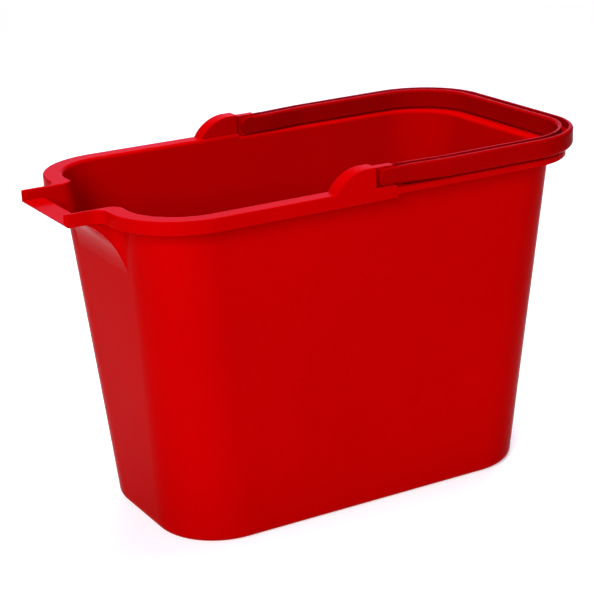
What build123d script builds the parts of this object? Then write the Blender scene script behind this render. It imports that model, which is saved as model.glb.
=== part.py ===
"""Oblong wash bucket: a moulded tub with a pouring spout and a fold-down bail handle.

Frame: millimetres, +Z up, origin at the centre of the footprint on the floor.
+X runs along the tub towards the end where the folded handle rests, and the
spout points to -X. The tub and the handle are each one plastic moulding.
"""

import math
import os

from build123d import *

os.makedirs("parts", exist_ok=True)

# --- driving dimensions of the tub -------------------------------------------
HEIGHT = 249.0  # floor to the top of the rim at the spout end
WALL = 2.3  # moulded wall, side walls and skirt alike
FLOOR = 3.0  # thickness of the tub's floor
BASE_LENGTH, BASE_WIDTH, BASE_CORNER = 298.6, 154.0, 48.5
MOUTH_LENGTH, MOUTH_WIDTH, MOUTH_CORNER = 339.0, 190.6, 43.0
BASE_EDGE = 6.4  # outer radius round the bottom edge
FOOT_RING, FOOT_DEPTH = 14.0, 1.2  # flat ring left by the recess under the floor
PAD_RADIUS = 12.0  # flat pad left in the middle of that recess

# --- rim ---------------------------------------------------------------------
RIM_REACH = 11.8  # how far the rim stands out from the walls at the mouth
SKIRT = 9.4  # height of the rim's outer face
RIM_ROUND = 2.5  # radius from the rim's flat top down into the tub
UNDER_ROUND = 3.9  # radius from the walls out to the underside of the rim
RIM_EDGE = 1.0  # outer top edge
HANDLE_SEAT = 2.5  # the rim is this much lower under the folded handle
HANDLE_SKIRT = 4.5  # height of the rim's outer face under the folded handle

# --- spout -------------------------------------------------------------------
SPOUT_TIP = -207.6
SPOUT_HALF_WIDTH = 39.8  # outer, over its rim
CHANNEL_HALF_WIDTH = 37.3  # at the level of the rim
SPOUT_DRAFT = 7.2  # how much narrower each side is where the scoop leaves the end wall
SCOOP_RADIUS = 54.4  # under the spout, from the end wall out towards the lip
SCOOP_BOTTOM = 192.0  # where the scoop leaves the end wall
LIP_CREASE = 6.0  # radius between the scoop and the flat underside of the lip
SPOUT_BLEND = 9.0  # corner between the spout's sides and the end of the tub
FLARE_END = 0.5  # flat left beyond each flare, inside the flat of the end wall
SCOOP_OVERLAP = 6.0  # how far the spout's solid reaches in through the end wall
TIP_CORNER = 2.5  # upright outer corners at the tip
LIP_EDGE = 3.0  # lower front edge of the lip
CHANNEL_CHAMFER = 0.7  # top edges of the channel
CHAMFER_LAP = 0.1  # how far the chamfer's cut starts inside the channel

# --- pivots ------------------------------------------------------------------
PIVOT_X, PIVOT_Z = 3.5, 253.8
TONGUE_Y = 99.7  # middle of the upright tongue between the handle's cheeks
TONGUE = 6.2
SIDE_GAP = 0.4  # between the tongue and each cheek
PIN_RADIUS = 2.6
BORE_RADIUS = 2.68
TONGUE_RADIUS = 10.0  # rounded end of the tongue about the pivot
TONGUE_TOP = 262.0
TONGUE_NOSE = 55.0  # degrees of the rounded end, up from level

# --- bosses that carry the tongues -------------------------------------------
BOSS_START, BOSS_CREST, BOSS_END = -40.0, -15.0, -7.0
BOSS_TOP = 263.4
BOSS_INNER_Y = 94.3  # the boss is flush with the rim on the outside
BOSS_ROOT = 243.5  # the foot of the boss, inside the rim
BOSS_ARC, BOSS_EDGE = 30.0, 0.8
GUARD_END, GUARD_TOP, GUARD = 10.0, 248.7, 1.2  # short guard in front of the cheek
GUARD_CORNER = 2.5

# --- handle ------------------------------------------------------------------
CHEEK = 2.3  # walls on either side of the tongue
CHANNEL_WALL = 3.2  # walls on either side of the handle's open channel
HANDLE_BOTTOM = 246.9
END_RADIUS = PIVOT_Z - HANDLE_BOTTOM  # rounded ends of the cheeks
TOP_AT_PIVOT, TOP_AT_GRIP = PIVOT_Z + END_RADIUS, 262.0
HANDLE_END = 187.9
HANDLE_HALF_WIDTH = 108.7  # outer, beyond the joggle
HANDLE_CORNER = 57.0
JOGGLE_START, JOGGLE_END, JOGGLE_RADIUS = 20.0, 52.0, 60.0
WEB = 8.6  # solid underside of the bow, below the channel
WEB_START = 17.5
SLOT_BOX = 28.0  # the cut between the cheeks, larger than the handle's end all round
HANDLE_EDGE, INNER_EDGE = 4.6, 2.0  # lower edges of the bow, outside and inside
CHANNEL_EDGE = 1.0  # lower corners inside the channel
SHOULDER_EDGE = 2.0  # upper outer edges of the bow
CHEEK_EDGE = 0.8  # round edges of the cheeks
PIN_SPLIT = 0.6  # gap between the ends of the two pins that meet in one tongue

NEAR = 0.1  # tolerance when edges and corners are picked by place

RIM_LENGTH = MOUTH_LENGTH + 2 * RIM_REACH
RIM_WIDTH = MOUTH_WIDTH + 2 * RIM_REACH
RIM_CORNER = MOUTH_CORNER + RIM_REACH
HANDLE_WIDTH = TONGUE + 2 * SIDE_GAP + 2 * CHEEK
CHANNEL_TIP = SPOUT_TIP - 2 * WALL  # the channel's cut runs out through the lip


def half_length_at(height):
    """Half the tub's outer length at a height on its tapered end walls."""
    return (BASE_LENGTH + (MOUTH_LENGTH - BASE_LENGTH) * height / HEIGHT) / 2


SCOOP_X = -half_length_at(SCOOP_BOTTOM) - SCOOP_RADIUS  # centre of the scoop's arc


def draft_at(height):
    """How much narrower each side of the spout is at a height than at the rim."""
    return SPOUT_DRAFT * (HEIGHT - height) / (HEIGHT - SCOOP_BOTTOM)


def tapered_block(inset, bottom, edge):
    """The tub's tapered form moved in by inset, from the height bottom up to the mouth."""
    with BuildPart() as block:
        with BuildSketch():
            RectangleRounded(BASE_LENGTH - 2 * inset, BASE_WIDTH - 2 * inset, BASE_CORNER - inset)
        with BuildSketch(Plane.XY.offset(HEIGHT)):
            RectangleRounded(MOUTH_LENGTH - 2 * inset, MOUTH_WIDTH - 2 * inset, MOUTH_CORNER - inset)
        loft()
        if bottom > 0:
            split(bisect_by=Plane.XY.offset(bottom), keep=Keep.TOP)
        fillet(block.faces().sort_by(Axis.Z)[0].edges(), edge)
    return block.part


def rim_plate(top, bottom, inset):
    """A plate with the rim's outline moved in by inset."""
    with BuildPart() as plate:
        with BuildSketch(Plane.XY.offset(bottom)):
            RectangleRounded(RIM_LENGTH - 2 * inset, RIM_WIDTH - 2 * inset, RIM_CORNER - inset)
        extrude(amount=top - bottom)
    return plate.part


def rimmed_shell(top, skirt_height):
    """Walls, floor and rim of the tub with the rim's flat top at the height top."""
    with BuildPart() as shell:
        add(tapered_block(0, 0, BASE_EDGE))
        split(bisect_by=Plane.XY.offset(top), keep=Keep.BOTTOM)
        add(rim_plate(top, top - WALL, 0))
        under_rim = shell.edges().filter_by_position(Axis.Z, top - WALL - NEAR, top - WALL + NEAR)
        fillet(under_rim.filter_by(GeomType.BSPLINE), UNDER_ROUND)
        skirt_bottom = top - skirt_height
        skirt = rim_plate(top, skirt_bottom, 0) - rim_plate(top, skirt_bottom, WALL)
        add(skirt)
        add(tapered_block(WALL, FLOOR, BASE_EDGE - WALL), mode=Mode.SUBTRACT)
        mouth = shell.faces().filter_by(Plane.XY).sort_by(Axis.Z)[-1].inner_wires()[0]
        fillet(mouth.edges(), RIM_ROUND)
        outer_edge = shell.faces().filter_by(Plane.XY).sort_by(Axis.Z)[-1].outer_wire()
        fillet(outer_edge.edges(), RIM_EDGE)
    return shell.part


def spout_plan(plane, half_width, tip, blend, wall_x, overlap):
    """The spout from above, flaring by the blend radius where it meets the end wall."""
    flare_y = half_width + blend + FLARE_END
    with BuildSketch(plane) as plan:
        with BuildLine():
            Polyline(
                (tip, -half_width),
                (wall_x, -half_width),
                (wall_x, -flare_y),
                (wall_x + overlap, -flare_y),
                (wall_x + overlap, flare_y),
                (wall_x, flare_y),
                (wall_x, half_width),
                (tip, half_width),
                close=True,
            )
        make_face()
        on_wall = plan.vertices().filter_by(lambda vertex: abs(vertex.X - wall_x) < NEAR)
        corners = on_wall.filter_by(lambda vertex: abs(abs(vertex.Y) - half_width) < NEAR)
        fillet(corners, blend)
        at_tip = plan.vertices().filter_by(lambda vertex: abs(vertex.X - tip) < NEAR)
        fillet(at_tip, TIP_CORNER)
    return plan.sketch


def scoop(half_width, tip, inset):
    """The spout's body: its plan, cut at the side to a scoop that ends in a flat lip."""
    radius = SCOOP_RADIUS + inset
    blend = SPOUT_BLEND + inset
    back_x = SCOOP_X + radius + SCOOP_OVERLAP
    lip_z = HEIGHT - SKIRT + inset
    rise = math.degrees(math.asin((lip_z - SCOOP_BOTTOM) / radius))
    with BuildPart() as block:
        plans = []
        for height in (SCOOP_BOTTOM, HEIGHT):
            wall_x = inset - half_length_at(height)
            level = Plane.XY.offset(height)
            width_here = half_width - draft_at(height)
            plans.append(spout_plan(level, width_here, tip, blend, wall_x, SCOOP_OVERLAP))
        loft(plans)
        with BuildSketch(Plane.XZ):
            with BuildLine():
                cove = CenterArc((SCOOP_X, SCOOP_BOTTOM), radius, 0, rise)
                crease = cove @ 1
                Polyline(
                    crease,
                    (tip, lip_z),
                    (tip, HEIGHT),
                    (back_x, HEIGHT),
                    (back_x, SCOOP_BOTTOM),
                    cove @ 0,
                )
            side = make_face()
            lip = side.vertices().group_by(Axis.X)[0].sort_by(Axis.Y)[0]
            fillet(lip, LIP_EDGE)
            fillet(side.vertices().sort_by_distance(crease)[0], LIP_CREASE + inset)
        extrude(amount=RIM_WIDTH / 2, both=True, mode=Mode.INTERSECT)
    return block.part


def channel_chamfer():
    """What the chamfer takes off the top edges of the channel."""
    blend = SPOUT_BLEND + WALL
    plans = []
    for widen in (-CHAMFER_LAP, CHANNEL_CHAMFER):
        height = HEIGHT - CHANNEL_CHAMFER + widen
        wall_x = WALL - half_length_at(height) - widen
        half_width = CHANNEL_HALF_WIDTH - draft_at(height) + widen
        level = Plane.XY.offset(height)
        plans.append(spout_plan(level, half_width, CHANNEL_TIP, blend - widen, wall_x, WALL))
    with BuildPart() as cut:
        loft(plans)
    return cut.part


def spout_rim():
    """The rim carried on round the spout, before the channel is cut through it."""
    with BuildPart() as flange:
        level = Plane.XY.offset(HEIGHT - SKIRT)
        wall_x = -RIM_LENGTH / 2
        extrude(spout_plan(level, SPOUT_HALF_WIDTH, SPOUT_TIP, SPOUT_BLEND, wall_x, RIM_REACH), amount=SKIRT)
        top_edges = flange.faces().sort_by(Axis.Z)[-1].edges()
        outside = top_edges.filter_by(lambda edge: edge.center().X < wall_x - NEAR)
        fillet(outside, RIM_EDGE)
        with BuildSketch(Plane.XZ):
            with Locations((SPOUT_TIP, HEIGHT)):
                side = Rectangle(wall_x + RIM_REACH - SPOUT_TIP, SKIRT, align=(Align.MIN, Align.MAX))
            fillet(side.vertices().group_by(Axis.X)[0].sort_by(Axis.Y)[0], LIP_EDGE)
        extrude(amount=RIM_WIDTH / 2, both=True, mode=Mode.INTERSECT)
    return flange.part


def spout_body(shell):
    """The solid spout and its rim, kept clear of the open mouth of the given shell."""
    with BuildPart() as mouth:
        add(rim_plate(HEIGHT, HEIGHT - 2 * SKIRT, RIM_REACH - RIM_ROUND))
        add(shell, mode=Mode.SUBTRACT)
    open_mouth = mouth.solids().sort_by(SortBy.VOLUME)[-1]
    with BuildPart() as body:
        add(scoop(CHANNEL_HALF_WIDTH + WALL, SPOUT_TIP, 0))
        add(spout_rim())
        add(open_mouth, mode=Mode.SUBTRACT)
    return body.part


def boss():
    """One pivot boss, on the +Y rim: shoulder block, tongue with its bore, and guard."""
    with BuildPart() as block:
        with BuildSketch(Plane.XZ.offset(-RIM_WIDTH / 2)):
            with BuildLine():
                rise = RadiusArc(
                    (BOSS_START, HEIGHT - WALL), (BOSS_CREST, BOSS_TOP), BOSS_ARC, short_sagitta=True
                )
                Polyline(
                    rise @ 1,
                    (BOSS_END, BOSS_TOP),
                    (BOSS_END, BOSS_ROOT),
                    (BOSS_START, BOSS_ROOT),
                    rise @ 0,
                )
            make_face()
        extrude(amount=RIM_WIDTH / 2 - BOSS_INNER_Y)
        crest = block.edges().filter_by(lambda edge: edge.center().Z > HEIGHT)
        fillet(crest.filter_by(Axis.Y, reverse=True), BOSS_EDGE)
        with BuildSketch(Plane.XZ.offset(-TONGUE_Y)):
            with BuildLine():
                nose = CenterArc((PIVOT_X, PIVOT_Z), TONGUE_RADIUS, 0, TONGUE_NOSE)
                Polyline(
                    nose @ 1,
                    (BOSS_CREST, TONGUE_TOP),
                    (BOSS_CREST, BOSS_ROOT),
                    (PIVOT_X + TONGUE_RADIUS, BOSS_ROOT),
                    nose @ 0,
                )
            make_face()
        extrude(amount=TONGUE / 2, both=True)
        with BuildSketch(Plane.XZ.offset(-RIM_WIDTH / 2)):
            with Locations((BOSS_END, BOSS_ROOT)):
                guard = Rectangle(GUARD_END - BOSS_END, GUARD_TOP - BOSS_ROOT, align=(Align.MIN, Align.MIN))
            fillet(guard.vertices().group_by(Axis.X)[-1].sort_by(Axis.Y)[-1], GUARD_CORNER)
        extrude(amount=GUARD)
        with BuildSketch(Plane.XZ.offset(-RIM_WIDTH / 2)):
            with Locations((BOSS_END, HEIGHT - SKIRT)):
                Rectangle(GUARD_END - BOSS_END, SKIRT - HANDLE_SKIRT, align=(Align.MIN, Align.MIN))
        extrude(amount=WALL)
        with Locations(Plane.XZ.offset(-TONGUE_Y)):
            with Locations((PIVOT_X, PIVOT_Z)):
                Cylinder(BORE_RADIUS, TONGUE + 2 * SIDE_GAP, mode=Mode.SUBTRACT)
    return block.part


shell = rimmed_shell(HEIGHT, SKIRT)
low_shell = rimmed_shell(HEIGHT - HANDLE_SEAT, HANDLE_SKIRT)
step_plane = Plane.YZ.offset(BOSS_END)
spout_half = split(shell, bisect_by=step_plane, keep=Keep.BOTTOM)
handle_half = split(low_shell, bisect_by=step_plane, keep=Keep.TOP)

with BuildPart() as tub:
    add(spout_half)
    add(spout_body(shell))
    add(scoop(CHANNEL_HALF_WIDTH, CHANNEL_TIP, WALL), mode=Mode.SUBTRACT)
    add(channel_chamfer(), mode=Mode.SUBTRACT)
    add(tapered_block(WALL, FLOOR, BASE_EDGE - WALL), mode=Mode.SUBTRACT)
    add(handle_half)
    add(boss())
    mirror(boss(), about=Plane.XZ)
    with BuildSketch():
        RectangleRounded(BASE_LENGTH - 2 * FOOT_RING, BASE_WIDTH - 2 * FOOT_RING, BASE_CORNER - FOOT_RING)
        Circle(PAD_RADIUS, mode=Mode.SUBTRACT)
    extrude(amount=FOOT_DEPTH, mode=Mode.SUBTRACT)
tub.part.label = "tub"
export_step(tub.part, "parts/tub.step")


def handle_line(offset):
    """Half the handle's outline in plan, from the pivot to the middle of the grip."""
    pivot_y = TONGUE_Y + offset
    side_y = HANDLE_HALF_WIDTH - HANDLE_WIDTH / 2 + offset
    end_x = HANDLE_END - HANDLE_WIDTH / 2 + offset
    return FilletPolyline(
        (PIVOT_X, pivot_y),
        (JOGGLE_START, pivot_y),
        (JOGGLE_END, side_y),
        (end_x, side_y),
        (end_x, 0),
        radius=[JOGGLE_RADIUS, JOGGLE_RADIUS, HANDLE_CORNER - HANDLE_WIDTH / 2 + offset],
    )


def gap_in_plan(line, outline):
    """Distance in plan between the middle of a line and an outline drawn at floor level."""
    middle = line @ 0.5
    return outline.distance_to((middle.X, middle.Y, 0))


def bow(outer, inner, bottom, top, outer_edge, inner_edge):
    """Half the bow between two offsets from its centre line, with rounded lower edges."""
    with BuildPart() as half:
        with BuildSketch(Plane.XY.offset(bottom)):
            with BuildLine():
                outside = handle_line(outer)
                inside = handle_line(inner)
                Line(outside @ 0, inside @ 0)
                Line(outside @ 1, inside @ 1)
            make_face()
        extrude(amount=top - bottom)
        for side, radius in ((outside, outer_edge), (inside, inner_edge)):
            lower = half.faces().sort_by(Axis.Z)[0].edges()
            along = lower.filter_by(lambda line: gap_in_plan(line, side) < NEAR)
            fillet(along, radius)
    return half.part


def cheeks():
    """The rounded end of the bow about its pivot, still solid across the channel."""
    with BuildPart() as disc:
        with BuildSketch(Plane.XZ.offset(-TONGUE_Y)):
            with Locations((PIVOT_X, PIVOT_Z)):
                Circle(END_RADIUS)
        extrude(amount=HANDLE_WIDTH / 2, both=True)
        fillet(disc.edges().filter_by(GeomType.CIRCLE), CHEEK_EDGE)
    return disc.part


def tongue_slot():
    """The gap between the cheeks, with a pin left standing on the inside of each cheek."""
    slot = HANDLE_WIDTH - 2 * CHEEK
    with BuildPart() as gap:
        with BuildSketch(Plane.XZ.offset(-TONGUE_Y)):
            with Locations((WEB_START, PIVOT_Z)):
                Rectangle(SLOT_BOX, SLOT_BOX, align=(Align.MAX, Align.CENTER))
        extrude(amount=slot / 2, both=True)
        with BuildSketch(Plane.XZ.offset(-TONGUE_Y)):
            with Locations((PIVOT_X, PIVOT_Z)):
                Circle(PIN_RADIUS)
        extrude(amount=slot / 2, both=True, mode=Mode.SUBTRACT)
        with BuildSketch(Plane.XZ.offset(-TONGUE_Y)):
            with Locations((PIVOT_X, PIVOT_Z)):
                Circle(PIN_RADIUS)
        extrude(amount=PIN_SPLIT / 2, both=True)
    return gap.part


half_width = HANDLE_WIDTH / 2
slope = (TOP_AT_GRIP - TOP_AT_PIVOT) / (HANDLE_END - PIVOT_X)
top_plane = Plane((PIVOT_X, 0, TOP_AT_PIVOT), x_dir=(1, 0, slope), z_dir=(-slope, 0, 1))

with BuildPart() as handle:
    add(bow(half_width, -half_width, HANDLE_BOTTOM, TOP_AT_GRIP, HANDLE_EDGE, INNER_EDGE))
    split(bisect_by=top_plane, keep=Keep.BOTTOM)
    top_edges = handle.faces().sort_by(Axis.Z)[-1].edges()
    past_pivot = top_edges.filter_by(lambda line: line.center().X > PIVOT_X + NEAR)
    fillet(past_pivot.filter_by(lambda line: line.center().Y > NEAR), SHOULDER_EDGE)
    add(cheeks())
    channel = half_width - CHANNEL_WALL
    floor, above = HANDLE_BOTTOM + WEB, TOP_AT_GRIP + WEB
    add(bow(channel, -channel, floor, above, CHANNEL_EDGE, CHANNEL_EDGE), mode=Mode.SUBTRACT)
    add(tongue_slot(), mode=Mode.SUBTRACT)
    mirror(about=Plane.XZ)
handle.part.label = "handle"
export_step(handle.part, "parts/handle.step")
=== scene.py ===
"""Looks of the wash bucket: smooth red polypropylene on a plain pale studio floor.

Everything is in metres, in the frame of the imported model: +Z up, the spout
towards -X, the folded handle lying towards +X.
"""

import math

import bpy
from mathutils import Matrix, Vector


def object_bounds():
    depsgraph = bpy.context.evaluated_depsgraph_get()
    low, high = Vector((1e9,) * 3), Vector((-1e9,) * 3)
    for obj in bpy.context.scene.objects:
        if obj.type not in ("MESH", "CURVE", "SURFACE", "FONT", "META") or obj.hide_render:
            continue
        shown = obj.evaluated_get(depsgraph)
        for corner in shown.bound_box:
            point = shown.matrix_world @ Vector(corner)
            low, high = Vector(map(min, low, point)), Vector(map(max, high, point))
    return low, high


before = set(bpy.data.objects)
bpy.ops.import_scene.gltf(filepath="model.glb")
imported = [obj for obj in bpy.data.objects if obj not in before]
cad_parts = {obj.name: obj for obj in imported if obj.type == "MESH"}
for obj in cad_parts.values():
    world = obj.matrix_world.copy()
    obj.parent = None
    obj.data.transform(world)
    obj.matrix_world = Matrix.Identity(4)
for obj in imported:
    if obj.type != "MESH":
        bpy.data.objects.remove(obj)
cad_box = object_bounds()

MM = 0.001
CENTRE = (cad_box[0] + cad_box[1]) / 2


# --- camera ------------------------------------------------------------------
CAMERA_AZIMUTH, CAMERA_ELEVATION, CAMERA_ROLL = -29.06, 18.55, -2.2  # degrees
CAMERA_DISTANCE = 1.3358
CAMERA_AIM = CENTRE + Vector((-0.0032, -0.0003, 0.0113))
SENSOR, LENS = 36.0, 108.68  # millimetres


def make_camera():
    """A long lens from the front left, a little above the rim, turned by a slight roll."""
    azimuth, elevation, roll = (
        math.radians(angle) for angle in (CAMERA_AZIMUTH, CAMERA_ELEVATION, CAMERA_ROLL)
    )
    back = Vector((
        math.sin(azimuth) * math.cos(elevation),
        -math.cos(azimuth) * math.cos(elevation),
        math.sin(elevation),
    ))
    level = Vector((0, 0, 1)).cross(back).normalized()
    upright = back.cross(level)
    right = math.cos(roll) * level + math.sin(roll) * upright
    up = math.cos(roll) * upright - math.sin(roll) * level
    camera = bpy.data.objects.new("camera", bpy.data.cameras.new("camera"))
    camera.data.sensor_width = SENSOR
    camera.data.lens = LENS
    turn = Matrix((right, up, back)).transposed().to_4x4()
    camera.matrix_world = Matrix.Translation(CAMERA_AIM + CAMERA_DISTANCE * back) @ turn
    bpy.context.scene.collection.objects.link(camera)
    bpy.context.scene.camera = camera


# --- node helpers ------------------------------------------------------------
class Nodes:
    """A small wrapper that adds nodes to a material or world and links them."""

    def __init__(self, tree):
        self.tree = tree
        tree.nodes.clear()

    def add(self, kind, inputs=(), **settings):
        node = self.tree.nodes.new("ShaderNode" + kind)
        for name, value in settings.items():
            setattr(node, name, value)
        for name, value in dict(inputs).items():
            socket = node.inputs[name]
            if isinstance(value, bpy.types.NodeSocket):
                self.tree.links.new(value, socket)
            else:
                socket.default_value = value
        return node

    def noise(self, place, scale, detail=3.0, roughness=0.5, distortion=0.0):
        """A noise of about 1/scale metres, as a value from 0 to 1."""
        inputs = {
            "Vector": place,
            "Scale": scale,
            "Detail": detail,
            "Roughness": roughness,
            "Distortion": distortion,
        }
        return self.add("TexNoise", inputs).outputs["Fac"]

    def spread(self, value, low, high, to_low=0.0, to_high=1.0):
        """Maps low..high of a value to to_low..to_high, smoothly and clamped."""
        inputs = {
            "Value": value,
            "From Min": low,
            "From Max": high,
            "To Min": to_low,
            "To Max": to_high,
        }
        mapped = self.add("MapRange", inputs, interpolation_type="SMOOTHSTEP")
        return mapped.outputs["Result"]

    def maths(self, operation, first, second):
        """One sum or product of two values."""
        return self.add("Math", {0: first, 1: second}, operation=operation).outputs[0]

    def mix(self, share, first, second):
        """A colour between two others, by share; the node takes them as inputs 6 and 7."""
        node = self.add("Mix", {0: share, 6: first, 7: second}, data_type="RGBA")
        return node.outputs[2]

    def stretch(self, place, scale):
        """A place with each of its coordinates multiplied by one of scale."""
        return self.add("Mapping", {"Vector": place, "Scale": scale}).outputs["Vector"]


# --- materials ---------------------------------------------------------------
RED = (0.322, 0.0001, 0.0002, 1.0)
DEEP_RED = (0.296, 0.0000, 0.0002, 1.0)
WORN_RED = (0.420, 0.0060, 0.0090, 1.0)
HANDLE_RED = (0.225, 0.0001, 0.0002, 1.0)
HANDLE_DEEP_RED = (0.200, 0.0000, 0.0002, 1.0)
ROUGHNESS = 0.15
PLASTIC_IOR = 1.49
REFLECTION_LEVEL = 0.002  # the plastic's skin mirrors very little
REFLECTION_TINT = (1.0, 0.10, 0.16, 1.0)

# Scales of the noises, in cells per metre. Two of them multiply the place by a stretch first.
CLOUD_SCALE = 9.0
STREAK_SCALE = 55.0
STREAK_STRETCH = (1.0, 1.0, 0.22)  # long up the wall
NICK_SCALE = 420.0
SCUFF_SCALE = 3.0
SCUFF_STRETCH = (30.0, 30.0, 420.0)  # long and level
SCUFF_PATCH_SCALE = 22.0
MOTTLE_SCALE = 140.0
GRAIN_SCALE = 1500.0
WAVE_SCALE = 34.0

# The values of a noise between which its effect goes from none to full.
CLOUD_RANGE = (0.3, 0.7)
NICK_RANGE = (0.42, 0.62)
SCUFF_RANGE = (0.55, 0.7)
SCUFF_PATCH_RANGE = (0.52, 0.68)
MOTTLE_RANGE = (0.3, 0.7)

CLOUD_SHARE, STREAK_SHARE = 0.6, 0.4  # of the variation in colour

WEAR_RADIUS = 1.1 * MM
WEAR_START, WEAR_FULL = 0.995, 0.86  # cosine between the rounded and the plain normal
WEAR_SHARE = 0.35  # of the worn colour where an edge is worn most
WEAR_ROUGHNESS = 0.12
SCUFF_ROUGHNESS = 0.10
MOTTLE_SMOOTHEST, MOTTLE_ROUGHEST = -0.025, 0.03

WAVE_HEIGHT = 6.0  # of the slow waves, with the grain as 1
SOFT_EDGE_RADIUS = 0.45 * MM
RELIEF_STRENGTH = 0.12
RELIEF_DEPTH = 0.12 * MM


def flow_colour(nodes, place, colour, deep_colour):
    """The melt's flow: cloudy patches and faint streaks between the two colours."""
    cloudy = nodes.noise(place, CLOUD_SCALE, detail=2.0)
    drawn_up = nodes.stretch(place, STREAK_STRETCH)
    streaks = nodes.noise(drawn_up, STREAK_SCALE, detail=4.0, distortion=0.6)
    flow = nodes.maths("MULTIPLY", nodes.spread(cloudy, *CLOUD_RANGE), CLOUD_SHARE)
    flow = nodes.maths("ADD", flow, nodes.maths("MULTIPLY", streaks, STREAK_SHARE))
    return nodes.mix(flow, deep_colour, colour)


def edge_wear(nodes, place):
    """From 0 to 1, nicked patches along the sharp edges."""
    rounded = nodes.add("Bevel", {"Radius": WEAR_RADIUS}, samples=6).outputs["Normal"]
    plain = nodes.add("NewGeometry").outputs["Normal"]
    cosine = nodes.add("VectorMath", {0: rounded, 1: plain}, operation="DOT_PRODUCT")
    edge = nodes.spread(cosine.outputs["Value"], WEAR_START, WEAR_FULL)
    nicks = nodes.noise(place, NICK_SCALE, detail=5.0, roughness=0.65)
    return nodes.maths("MULTIPLY", edge, nodes.spread(nicks, *NICK_RANGE))


def scuffed_roughness(nodes, place, wear):
    """The plastic's roughness: faintly mottled, and duller at scuffs and worn edges."""
    lines = nodes.stretch(place, SCUFF_STRETCH)
    lines = nodes.noise(lines, SCUFF_SCALE, detail=6.0, roughness=0.7)
    patches = nodes.noise(place, SCUFF_PATCH_SCALE, detail=3.0)
    patches = nodes.spread(patches, *SCUFF_PATCH_RANGE)
    scuffs = nodes.maths("MULTIPLY", nodes.spread(lines, *SCUFF_RANGE), patches)
    mottle = nodes.noise(place, MOTTLE_SCALE, detail=4.0)
    mottle = nodes.spread(mottle, *MOTTLE_RANGE, MOTTLE_SMOOTHEST, MOTTLE_ROUGHEST)
    dull = nodes.maths("ADD", mottle, ROUGHNESS)
    dull = nodes.maths("ADD", dull, nodes.maths("MULTIPLY", scuffs, SCUFF_ROUGHNESS))
    return nodes.maths("ADD", dull, nodes.maths("MULTIPLY", wear, WEAR_ROUGHNESS))


def moulded_relief(nodes, place):
    """A normal with the mould's fine grain, slow waves and softened edges."""
    grain = nodes.noise(place, GRAIN_SCALE, detail=2.0)
    waves = nodes.noise(place, WAVE_SCALE, detail=2.0)
    relief = {
        "Height": nodes.maths("ADD", nodes.maths("MULTIPLY", waves, WAVE_HEIGHT), grain),
        "Strength": RELIEF_STRENGTH,
        "Distance": RELIEF_DEPTH,
        "Normal": nodes.add("Bevel", {"Radius": SOFT_EDGE_RADIUS}, samples=4).outputs["Normal"],
    }
    return nodes.add("Bump", relief).outputs["Normal"]


def moulded_plastic(name, colour, deep_colour):
    """Injection-moulded polypropylene in use: flow shading, scuffs and worn edges."""
    material = bpy.data.materials.new(name)
    material.use_nodes = True
    nodes = Nodes(material.node_tree)
    place = nodes.add("TexCoord").outputs["Object"]
    body = flow_colour(nodes, place, colour, deep_colour)
    wear = edge_wear(nodes, place)
    plastic = {
        "Base Color": nodes.mix(nodes.maths("MULTIPLY", wear, WEAR_SHARE), body, WORN_RED),
        "Roughness": scuffed_roughness(nodes, place, wear),
        "Normal": moulded_relief(nodes, place),
        "IOR": PLASTIC_IOR,
        "Specular IOR Level": REFLECTION_LEVEL,
        "Specular Tint": REFLECTION_TINT,
    }
    shader = nodes.add("BsdfPrincipled", plastic)
    nodes.add("OutputMaterial", {"Surface": shader.outputs["BSDF"]})
    return material


def paint(node, material):
    """Gives every slot of a CAD node's object the material."""
    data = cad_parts[node].data
    if not data.materials:
        data.materials.append(material)
    for index in range(len(data.materials)):
        data.materials[index] = material


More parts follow.
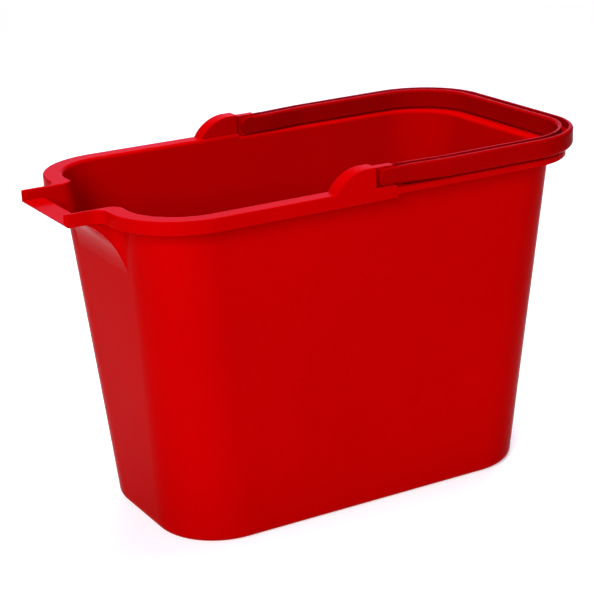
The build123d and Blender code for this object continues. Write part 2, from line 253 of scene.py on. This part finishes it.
# --- studio ------------------------------------------------------------------
FLOOR_SIZE = 14.0
FLOOR_WHITE = (0.80, 0.80, 0.80, 1.0)
FLOOR_ROUGHNESS = 0.9
FLOOR_GLOW = 0.46  # keeps the paper white out to the horizon
SKY = (0.62, 0.66, 1.0, 1.0)
SKY_STRENGTH = 0.30
WHITE_LIGHT, BLUISH_LIGHT = (1.0, 1.0, 1.0), (0.66, 0.55, 1.0)
SOFTBOXES = {  # place, width and height, watts and colour
    "key": ((-1.9, -1.9, 1.45), (1.0, 1.6), 110.0, WHITE_LIGHT),
    "top": ((0.15, 0.15, 1.35), (0.9, 0.7), 26.0, WHITE_LIGHT),
    "back": ((1.5, 2.6, 1.1), (3.0, 1.6), 36.0, BLUISH_LIGHT),
}


def make_floor():
    """A plain pale floor, large enough to fill the view to the horizon."""
    half = FLOOR_SIZE / 2
    corners = [(-half, -half, 0), (half, -half, 0), (half, half, 0), (-half, half, 0)]
    mesh = bpy.data.meshes.new("floor")
    mesh.from_pydata(corners, [], [(0, 1, 2, 3)])
    floor = bpy.data.objects.new("floor", mesh)
    bpy.context.scene.collection.objects.link(floor)
    material = bpy.data.materials.new("floor_paper")
    material.use_nodes = True
    nodes = Nodes(material.node_tree)
    paper = {
        "Base Color": FLOOR_WHITE,
        "Roughness": FLOOR_ROUGHNESS,
        "Emission Color": FLOOR_WHITE,
        "Emission Strength": FLOOR_GLOW,
    }
    shader = nodes.add("BsdfPrincipled", paper)
    nodes.add("OutputMaterial", {"Surface": shader.outputs["BSDF"]})
    mesh.materials.append(material)


def make_sky():
    """A dim, even, bluish light from all round."""
    world = bpy.data.worlds.new("studio")
    bpy.context.scene.world = world
    world.use_nodes = True
    nodes = Nodes(world.node_tree)
    background = nodes.add("Background", {"Color": SKY, "Strength": SKY_STRENGTH})
    nodes.add("OutputWorld", {"Surface": background.outputs["Background"]})


def softbox(name, place, size, watts, colour):
    """A large soft area light that faces the middle of the bucket."""
    data = bpy.data.lights.new(name, "AREA")
    data.shape = "RECTANGLE"
    data.size, data.size_y = size
    data.energy = watts
    data.color = colour
    light = bpy.data.objects.new(name, data)
    light.location = place
    light.rotation_euler = (CENTRE - Vector(place)).to_track_quat("-Z", "Y").to_euler()
    bpy.context.scene.collection.objects.link(light)


def make_studio():
    make_floor()
    make_sky()
    for name, settings in SOFTBOXES.items():
        softbox(name, *settings)
    scene = bpy.context.scene
    scene.view_settings.view_transform = "Standard"
    scene.view_settings.look = "None"


make_camera()
make_studio()
paint("tub", moulded_plastic("tub_plastic", RED, DEEP_RED))
paint("handle", moulded_plastic("handle_plastic", HANDLE_RED, HANDLE_DEEP_RED))
